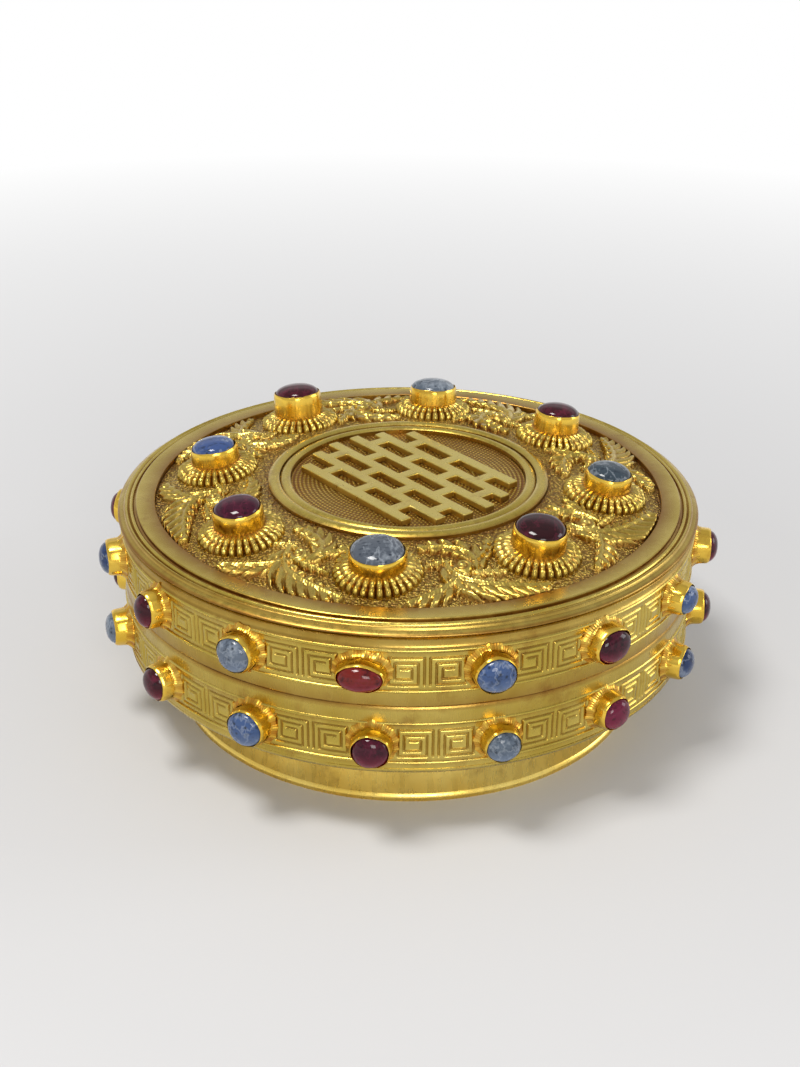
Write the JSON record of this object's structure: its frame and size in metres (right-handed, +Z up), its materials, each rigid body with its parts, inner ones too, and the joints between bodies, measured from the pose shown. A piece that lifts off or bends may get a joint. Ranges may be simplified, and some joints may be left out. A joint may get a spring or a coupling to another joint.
{
  "type": "lidded box",
  "caption": "Round gilt box on a low foot ring, with a lift-off lid, a chased domed top and cabochons in box settings round the walls and on the lid.",
  "frame": {"origin": "centre of the foot ring's underside, on the surface that the box stands on", "axes": "+Z up along the box's axis, -Y towards the front, +X to the right"},
  "size_m": [0.109, 0.109, 0.046],
  "materials": {
    "chased_gilt": "chased, satin gilt",
    "plain_gilt": "plain, satin gilt",
    "bright_gilt": "burnished gilt",
    "red_stone": "polished cabochon",
    "blue_stone": "polished cabochon"
  },
  "bodies": {
    "base": {"foot_ring": "chased_gilt", "base_pan": "plain_gilt", "base_wall": "chased_gilt", "base_collar": "plain_gilt", "base_collets": "bright_gilt", "base_calyxes": "bright_gilt", "base_red_stones": "red_stone", "base_blue_stones": "blue_stone"},
    "lid_liner": {"lid_liner": "plain_gilt"},
    "lid": {"lid_wall": "chased_gilt", "lid_rim": "chased_gilt", "lid_plate": "chased_gilt", "lid_collets": "bright_gilt", "lid_calyxes": "bright_gilt", "lid_red_stones": "red_stone", "lid_blue_stones": "blue_stone", "rosette_1": "chased_gilt", "rosette_2": "chased_gilt", "rosette_3": "chased_gilt", "rosette_4": "chased_gilt", "rosette_5": "chased_gilt", "rosette_6": "chased_gilt", "rosette_7": "chased_gilt", "rosette_8": "chased_gilt", "top_collet_1": "bright_gilt", "top_collet_2": "bright_gilt", "top_collet_3": "bright_gilt", "top_collet_4": "bright_gilt", "top_collet_5": "bright_gilt", "top_collet_6": "bright_gilt", "top_collet_7": "bright_gilt", "top_collet_8": "bright_gilt", "top_stone_1": "blue_stone", "top_stone_2": "red_stone", "top_stone_3": "blue_stone", "top_stone_4": "red_stone", "top_stone_5": "blue_stone", "top_stone_6": "red_stone", "top_stone_7": "blue_stone", "top_stone_8": "red_stone", "leaf_spray_1": "chased_gilt", "leaf_spray_2": "chased_gilt", "leaf_spray_3": "chased_gilt", "leaf_spray_4": "chased_gilt", "leaf_spray_5": "chased_gilt", "leaf_spray_6": "chased_gilt", "leaf_spray_7": "chased_gilt", "leaf_spray_8": "chased_gilt", "medallion_frame": "chased_gilt", "medallion_bead": "chased_gilt", "medallion_ground": "chased_gilt", "medallion_lattice": "chased_gilt"}
  },
  "joints": [
    {"name": "lid_lift", "type": "slide", "parent": "base", "child": "lid_liner", "axis": [0, 0, 1], "range_m": [0, 0.06]},
    {"name": "lid_turn", "type": "hinge", "parent": "lid_liner", "child": "lid", "pos_m": [0, 0, 0.0346], "axis": [0, 0, 1], "continuous": true}
  ]
}
